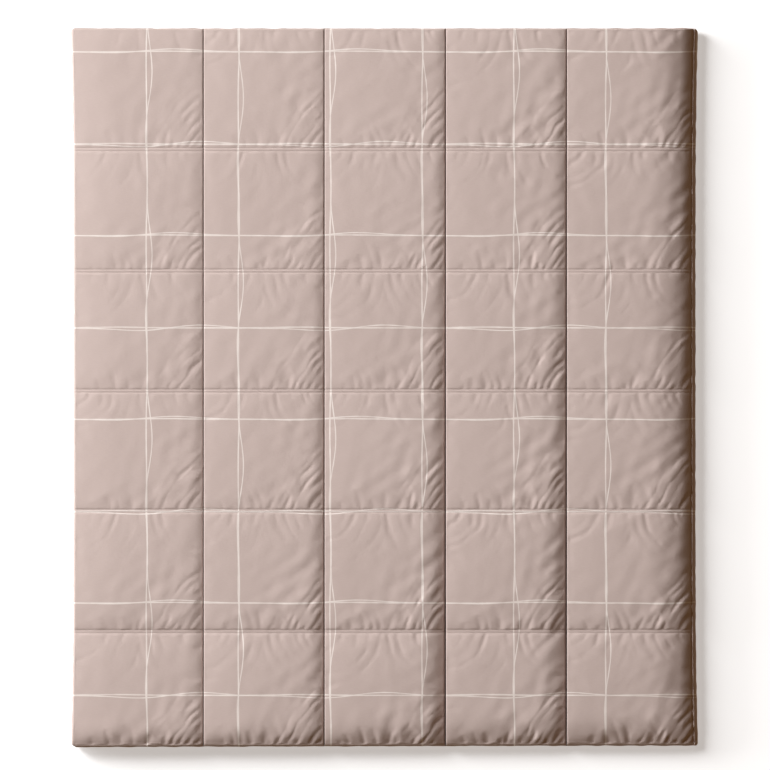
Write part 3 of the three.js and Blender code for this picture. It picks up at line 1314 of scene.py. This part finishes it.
def new_group(
    name: str, inputs: dict[str, str], outputs: dict[str, str]
) -> tuple[NodeSheet, Sockets, bpy.types.Node]:
    """Starts a shader node group with named sockets.

    Args:
        name: Name of the group.
        inputs: Socket types by input name.
        outputs: Socket types by output name.

    Returns:
        The sheet, the sockets that bring the inputs by name, and the node that takes the outputs.
    """
    tree = bpy.data.node_groups.new(name, "ShaderNodeTree")
    for way, sockets in (("INPUT", inputs), ("OUTPUT", outputs)):
        for label, kind in sockets.items():
            tree.interface.new_socket(name=label, in_out=way, socket_type=kind)
    sheet = NodeSheet(tree)
    given = {socket.name: socket for socket in sheet.node("NodeGroupInput").outputs}
    return sheet, given, sheet.node("NodeGroupOutput")


@dataclass(frozen=True)
class DrawnLine:
    """How a hand-drawn line of the print runs: slow and quick sway, uneven width and uneven pressure."""

    repeat: float
    quick_waves: float = 2.0
    quick_turn: float = 1.7
    quick_share: float = 0.45
    width_grain: float = 26.0
    width_detail: float = 3.0
    width_least: float = 0.55
    width_spread: float = 0.9
    core: float = 0.30
    rim: float = 0.72
    press_grain: float = 9.0
    press_ramp: Span = (0.36, 0.60)
    press_least: float = 0.72
    press_spread: float = 0.28

    def group(self) -> bpy.types.NodeTree:
        """Makes the group that draws one strand of the check, repeated at an even pitch.

        Returns:
            The group, with a mask as its output.
        """
        number = "NodeSocketFloat"
        names = ("Across", "Along", "Place", "Sway", "Turn", "Width")
        sheet, given, out = new_group("hand_drawn_strand", {name: number for name in names}, {"Mask": number})
        angle = sheet.math("MULTIPLY", given["Along"], 2 * math.pi / self.repeat)
        slow = sheet.math("SINE", sheet.math("ADD", angle, given["Turn"]))
        quick_turn = sheet.math("MULTIPLY", given["Turn"], self.quick_turn)
        quick = sheet.math("SINE", sheet.math("MULTIPLY_ADD", angle, self.quick_waves, quick_turn))
        both = sheet.math("ADD", slow, sheet.math("MULTIPLY", quick, self.quick_share))
        line = sheet.math("ADD", given["Place"], sheet.math("MULTIPLY", both, given["Sway"]))
        off = sheet.math("SUBTRACT", given["Across"], line)
        away = sheet.math("ABSOLUTE", sheet.math("WRAP", off, self.repeat / 2, -self.repeat / 2))
        place = sheet.node("ShaderNodeCombineXYZ", {0: given["Along"], 1: given["Turn"]}).outputs[0]
        grain = sheet.noise(place, self.width_grain, self.width_detail)
        uneven = sheet.math("MULTIPLY_ADD", grain, self.width_spread, self.width_least)
        width = sheet.math("MULTIPLY", given["Width"], uneven)
        inner, outer = [sheet.math("MULTIPLY", width, share) for share in (self.core, self.rim)]
        drawn = sheet.math("SUBTRACT", 1.0, sheet.ramp(away, inner, outer))
        press = sheet.ramp(sheet.noise(place, self.press_grain), *self.press_ramp)
        press = sheet.math("MULTIPLY_ADD", press, self.press_spread, self.press_least)
        sheet.plug(out, {"Mask": sheet.math("MULTIPLY", drawn, press)})
        return sheet.tree


@dataclass(frozen=True)
class PlainWeave:
    """Plain weave of the cotton: over-and-under relief, and the tone of uneven yarns and soft patches."""

    stretch: Place = (1.0, 9.0, 1.0)
    yarn_grain: float = 60.0
    yarn_share: float = 0.5
    patch_grain: float = 2.3
    patch_detail: float = 3.0
    patch_share: float = 0.5

    def group(self) -> bpy.types.NodeTree:
        """Makes the group.

        Returns:
            The group, with the relief's height and the tone as its outputs.
        """
        number = "NodeSocketFloat"
        inputs, outputs = {"Cloth": "NodeSocketVector", "Yarns": number}, {"Height": number, "Tone": number}
        sheet, given, out = new_group("plain_weave", inputs, outputs)
        x, y, _ = sheet.parts(given["Cloth"])
        turns = sheet.math("MULTIPLY", given["Yarns"], math.pi)
        across, along = [sheet.math("SINE", sheet.math("MULTIPLY", part, turns)) for part in (x, y)]
        factors = {0: given["Cloth"], 1: self.stretch}
        stretched = sheet.node("ShaderNodeVectorMath", factors, operation="MULTIPLY").outputs[0]
        yarn = sheet.math("MULTIPLY", sheet.noise(stretched, self.yarn_grain), self.yarn_share)
        patch = sheet.noise(given["Cloth"], self.patch_grain, self.patch_detail)
        tone = sheet.math("ADD", yarn, sheet.math("MULTIPLY", patch, self.patch_share))
        sheet.plug(out, {"Height": sheet.math("MULTIPLY", across, along), "Tone": tone})
        return sheet.tree


@dataclass(frozen=True)
class Strand:
    """One strand of the printed check within its repeat: place, sway to either side, turn and width."""

    place: float
    sway: float
    turn: float
    width: float


@dataclass(frozen=True)
class PrintedCheck:
    """Hand-drawn windowpane check: paired strands that cross in both directions."""

    repeat: float = 0.5865
    colour: Colour = (0.86, 0.80, 0.765, 1.0)
    up_strands: tuple[Strand, ...] = (
        Strand(-0.1753, 0.0015, 0.4, 0.0041),
        Strand(-0.1703, 0.0085, 3.13, 0.0033),
        Strand(0.1183, 0.0015, 1.9, 0.0041),
        Strand(0.1213, 0.0085, 4.15, 0.0033),
    )
    cross_strands: tuple[Strand, ...] = (
        Strand(-0.1015, 0.0012, 2.6, 0.0041),
        Strand(-0.0995, 0.0050, 2.23, 0.0031),
        Strand(0.1905, 0.0012, 4.4, 0.0041),
        Strand(0.1895, 0.0070, 1.21, 0.0031),
    )

    def mask(self, sheet: NodeSheet, x: object, y: object) -> bpy.types.NodeSocket:
        """Lays out all strands and returns the mask of the print.

        Args:
            sheet: Sheet of the material.
            x: Cloth place across the duvet.
            y: Cloth place along the duvet.

        Returns:
            The mask, 1 where the print is.
        """
        group = DrawnLine(self.repeat).group()
        runs = [(strand, x, y) for strand in self.up_strands]
        runs += [(strand, y, x) for strand in self.cross_strands]
        total = None
        for strand, across, along in runs:
            values = (across, along, strand.place, strand.sway, strand.turn, strand.width)
            drawn = sheet.node("ShaderNodeGroup", dict(enumerate(values)), node_tree=group).outputs[0]
            total = drawn if total is None else sheet.math("MAXIMUM", total, drawn)
        return total


@dataclass
class Stitching:
    """The quilting stitches: two rows of thread along each channel that runs across the duvet."""

    cover: DuvetCover
    pitch: float = 0.0050
    length: float = 0.0036
    thickness: float = 0.0009
    sunk: float = 0.0001
    clear: float = 0.0090
    end_clear: float = 0.0150
    jitter: float = 0.3
    waver: float = 0.00025
    segments: int = 6
    rings: int = 3
    same_line: float = 1e-6
    seed: int = 5

    def grain(self) -> tuple[np.ndarray, list[Face]]:
        """Models one stitch along the first axis.

        Returns:
            Its points and its faces.
        """
        bpy.ops.mesh.primitive_uv_sphere_add(segments=self.segments, ring_count=self.rings, radius=1)
        made = bpy.context.object
        bpy.ops.object.mode_set(mode="EDIT")
        bpy.ops.mesh.select_all(action="SELECT")
        bpy.ops.transform.rotate(value=math.pi / 2, orient_axis="Y", center_override=(0, 0, 0))
        size = (self.length / 2, self.thickness / 2, self.thickness / 2)
        bpy.ops.transform.resize(value=size, center_override=(0, 0, 0))
        bpy.ops.object.mode_set(mode="OBJECT")
        points = np.array([vertex.co for vertex in made.data.vertices])
        faces = [tuple(face.vertices) for face in made.data.polygons]
        discard(made)
        return points, faces

    def row(self, number: int, draws: np.random.Generator) -> tuple[np.ndarray, np.ndarray]:
        """Sets out the stitches of one row.

        Args:
            number: Section line along which the row runs.
            draws: Source of the fixed random draws.

        Returns:
            The middles of the stitches and their directions.
        """
        across, along = self.cover.across, self.cover.along
        x = np.arange(across.place[0] + self.end_clear, across.place[-1] - self.end_clear, self.pitch)
        x = x + draws.uniform(-self.jitter, self.jitter, len(x)) * (self.pitch - self.length)
        seams = self.cover.plan.seams(Axis.ACROSS)[1:-1]
        x = x[np.min(np.abs(x[:, None] - seams[None, :]), axis=1) > self.clear]
        y = along.place[number] + draws.uniform(-self.waver, self.waver, len(x))
        ends = []
        for way in (-self.length / 2, self.length / 2):
            height = np.interp(x + way, across.place, self.cover.heights[number])
            ends.append(np.column_stack([*self.cover.plan.outline(x + way, y), height]))
        middle = (ends[0] + ends[1]) / 2 - np.array([0, 0, self.sunk])
        return middle, (ends[1] - ends[0]) / self.length

    def build(self) -> bpy.types.Object:
        """Makes all stitches as one joined mesh.

        Returns:
            The stitches.
        """
        draws = np.random.default_rng(self.seed)
        beside = np.abs(self.cover.along.channel - self.cover.strip_half) < self.same_line
        rows = [self.row(number, draws) for number in np.flatnonzero(beside)]
        middle = np.concatenate([row[0] for row in rows])
        run = np.concatenate([row[1] for row in rows])
        points, faces = self.grain()
        side = np.stack([-run[:, 1], run[:, 0], np.zeros(len(run))], axis=1)
        up = np.cross(run, side)
        turned = points[None, :, 0, None] * run[:, None] + points[None, :, 1, None] * side[:, None]
        turned = turned + points[None, :, 2, None] * up[:, None] + middle[:, None]
        every = []
        for first in range(0, len(points) * len(run), len(points)):
            every += [tuple(first + corner for corner in face) for face in faces]
        made = new_piece("quilting_stitches", turned.reshape(-1, 3), every, [True] * len(every))
        LOG.info("%s: %d stitches", made.name, len(run))
        return made

    def dress(self, stitches: bpy.types.Object) -> None:
        """Gives the stitches their thread and says what they ride on.

        Args:
            stitches: The joined stitches.
        """
        stitches.data.materials.append(ThreadFinish().material())
        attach(stitches, "root")


@dataclass(frozen=True)
class ThreadFinish:
    """Slightly glossy sewing thread in the tone of the cover."""

    name: str = "quilting_thread"
    colour: Colour = (0.66, 0.565, 0.535, 1.0)
    deep: Colour = (0.56, 0.46, 0.43, 1.0)
    roughness: float = 0.55
    twist_scale: float = 420.0
    twist_strength: float = 0.4
    twist_depth: float = 0.0001

    def material(self) -> bpy.types.Material:
        """Makes the material, with the turns of the twisted thread as tone and relief.

        Returns:
            The material.
        """
        made, sheet, shader = new_material(self.name)
        place = sheet.node("ShaderNodeTexCoord").outputs["Object"]
        inputs = {"Vector": place, "Scale": self.twist_scale}
        twist = sheet.node("ShaderNodeTexWave", inputs, bands_direction="DIAGONAL").outputs["Fac"]
        sheet.plug(shader, {
            "Base Color": sheet.mix(twist, self.deep, self.colour),
            "Roughness": self.roughness,
            "Normal": sheet.relief(twist, self.twist_strength, self.twist_depth),
        })
        return made


@dataclass(frozen=True)
class CottonFinish:
    """Matt cotton of the cover, printed or plain, with painted shade in the sewn creases where these are
    given.
    """

    name: str
    colour: Colour = (0.600, 0.500, 0.472, 1.0)
    deep: Colour = (0.575, 0.476, 0.448, 1.0)
    tone_ramp: Span = (0.35, 0.65)
    roughness: float = 0.88
    specular: float = 0.25
    sheen: float = 0.12
    sheen_roughness: float = 0.5
    yarns_per_metre: float = 1150.0
    weave_strength: float = 0.35
    weave_depth: float = 0.00018
    check: PrintedCheck | None = None
    creases: tuple[float, ...] = ()
    # Painted shade laid into the sewn creases: half its width, the share that is fully dark, and its colour.
    painted_shade_half: float = 0.0016
    painted_shade_core: float = 0.8
    painted_crease_shade: Colour = (0.20, 0.150, 0.132, 1.0)

    def painted_crease_mask(self, sheet: NodeSheet, x: object) -> bpy.types.NodeSocket:
        """Lays out the mask of the painted shade in the sewn creases.

        Args:
            sheet: Sheet of the material.
            x: Cloth place across the duvet.

        Returns:
            The mask, 1 inside the creases.
        """
        away = 1.0
        for crease in self.creases:
            away = sheet.math("MINIMUM", away, sheet.math("ABSOLUTE", sheet.math("SUBTRACT", x, crease)))
        outside = sheet.ramp(away, self.painted_shade_core * self.painted_shade_half, self.painted_shade_half)
        return sheet.math("SUBTRACT", 1.0, outside)

    def material(self, weave: bpy.types.NodeTree) -> bpy.types.Material:
        """Makes the material.

        Args:
            weave: Group with the weave's relief and tone.

        Returns:
            The material, read off the cloth coordinates.
        """
        made, sheet, shader = new_material(self.name)
        cloth = sheet.node("ShaderNodeUVMap", uv_map="cloth").outputs[0]
        inputs = {"Cloth": cloth, "Yarns": self.yarns_per_metre}
        yarn = sheet.node("ShaderNodeGroup", inputs, node_tree=weave)
        colour = sheet.mix(sheet.ramp(yarn.outputs["Tone"], *self.tone_ramp), self.deep, self.colour)
        if self.check is not None:
            x, y, _ = sheet.parts(cloth)
            colour = sheet.mix(self.check.mask(sheet, x, y), colour, self.check.colour)
            # Painted shade: the colour is darkened inside the sewn creases.
            colour = sheet.mix(self.painted_crease_mask(sheet, x), colour, self.painted_crease_shade)
        sheet.plug(shader, {
            "Base Color": colour,
            "Roughness": self.roughness,
            "Specular IOR Level": self.specular,
            "Sheen Weight": self.sheen,
            "Sheen Roughness": self.sheen_roughness,
            "Normal": sheet.relief(yarn.outputs["Height"], self.weave_strength, self.weave_depth),
        })
        return made


@dataclass(frozen=True)
class FloorFinish:
    """Pale floor that lights the duvet's sides with a soft glow and is clear from below."""

    name: str = "pale_floor"
    colour: Colour = (0.82, 0.835, 0.85, 1.0)
    roughness: float = 0.9
    light: float = 0.44
    glow: Colour = (0.36, 0.28, 0.21, 1.0)

    def material(self) -> bpy.types.Material:
        """Makes the material, which is pale to the camera and gives the glow to everything else.

        Returns:
            The material.
        """
        made, sheet, shader = new_material(self.name)
        sheet.plug(shader, {
            "Base Color": self.colour,
            "Roughness": self.roughness,
            "Specular IOR Level": 0.0,
            "Emission Color": WHITE,
            "Emission Strength": self.light,
        })
        glow = sheet.node("ShaderNodeEmission", {"Color": self.glow})
        clear = sheet.node("ShaderNodeBsdfTransparent")
        seen = sheet.node("ShaderNodeLightPath").outputs["Is Camera Ray"]
        from_below = sheet.node("ShaderNodeNewGeometry").outputs["Backfacing"]
        upper = sheet.blend(seen, glow.outputs[0], shader.outputs[0])
        both = sheet.blend(from_below, upper, clear.outputs[0])
        sheet.plug(made.node_tree.nodes["Material Output"], {"Surface": both})
        return made


@dataclass(frozen=True)
class LightPanel:
    """Soft light panel that faces the duvet, with its level and upright side in metres and power in watts."""

    name: str
    place: Place
    width: float
    height: float
    power: float

    def add(self) -> None:
        """Adds the light to the scene."""
        bpy.ops.object.light_add(type="AREA", location=self.place)
        light = bpy.context.object
        light.name = self.name
        light.data.shape = "RECTANGLE"
        light.data.size, light.data.size_y = self.width, self.height
        light.data.energy = self.power
        light.rotation_mode = "QUATERNION"
        light.rotation_quaternion = light.location.to_track_quat("Z", "Y")


@dataclass
class Studio:
    """Plain pale floor, soft light from the upper left and a camera straight above."""

    frame_pixels: int = 770
    metres_a_pixel: float = 0.003199
    middle_x: float = -0.001
    middle_y: float = 0.0074
    lens: float = 600.0
    sensor: float = 36.0
    sight: float = 400.0
    key: LightPanel = LightPanel("key_light", (-12.0, 7.8, 8.9), 6.0, 11.0, 3960.0)
    low: LightPanel = LightPanel("low_light", (-15.8, 3.2, 4.2), 6.0, 3.0, 1500.0)
    fill: Colour = (0.092, 0.042, 0.008, 1.0)
    floor_size: float = 60.0
    floor_drop: float = 0.0015

    def floor(self) -> None:
        """Adds the floor, just below the duvet."""
        bpy.ops.mesh.primitive_plane_add(size=self.floor_size, location=(0, 0, -self.floor_drop))
        floor = bpy.context.object
        floor.name = "studio_floor"
        floor.data.materials.append(FloorFinish().material())

    def lights(self) -> None:
        """Adds the key light, a low light below it that softens the shadow, and the dim fill."""
        self.key.add()
        self.low.add()
        world = bpy.data.worlds.new("studio")
        bpy.context.scene.world = world
        world.use_nodes = True
        sheet = NodeSheet(world.node_tree)
        fill = world.node_tree.nodes["Background"]
        sheet.plug(fill, {"Color": self.fill})
        wall = sheet.node("ShaderNodeBackground", {"Color": WHITE})
        seen = sheet.node("ShaderNodeLightPath").outputs["Is Camera Ray"]
        both = sheet.blend(seen, fill.outputs[0], wall.outputs[0])
        sheet.plug(world.node_tree.nodes["World Output"], {"Surface": both})

    def camera(self) -> None:
        """Adds the camera straight above, framed as the photograph is."""
        span = self.frame_pixels * self.metres_a_pixel
        height = span * self.lens / self.sensor
        bpy.ops.object.camera_add(location=(self.middle_x, self.middle_y, height), rotation=(0, 0, 0))
        camera = bpy.context.object
        camera.data.lens = self.lens
        camera.data.sensor_width = self.sensor
        camera.data.clip_end = self.sight
        bpy.context.scene.camera = camera
        bpy.context.scene.view_settings.view_transform = "Standard"


def main() -> None:
    """Builds and dresses the duvet, then sets the studio round it."""
    logging.basicConfig(level=logging.INFO)
    bpy.ops.object.select_all(action="DESELECT")
    studio = Studio()
    studio.camera()
    cover = DuvetCover()
    columns = cover.build()
    cover.dress(columns)
    stitching = Stitching(cover)
    stitches = stitching.build()
    stitching.dress(stitches)
    studio.floor()
    studio.lights()
    LOG.info("dressed: %s", ", ".join(piece.name for piece in [*columns, stitches]))


if __name__ == "__main__":
    main()
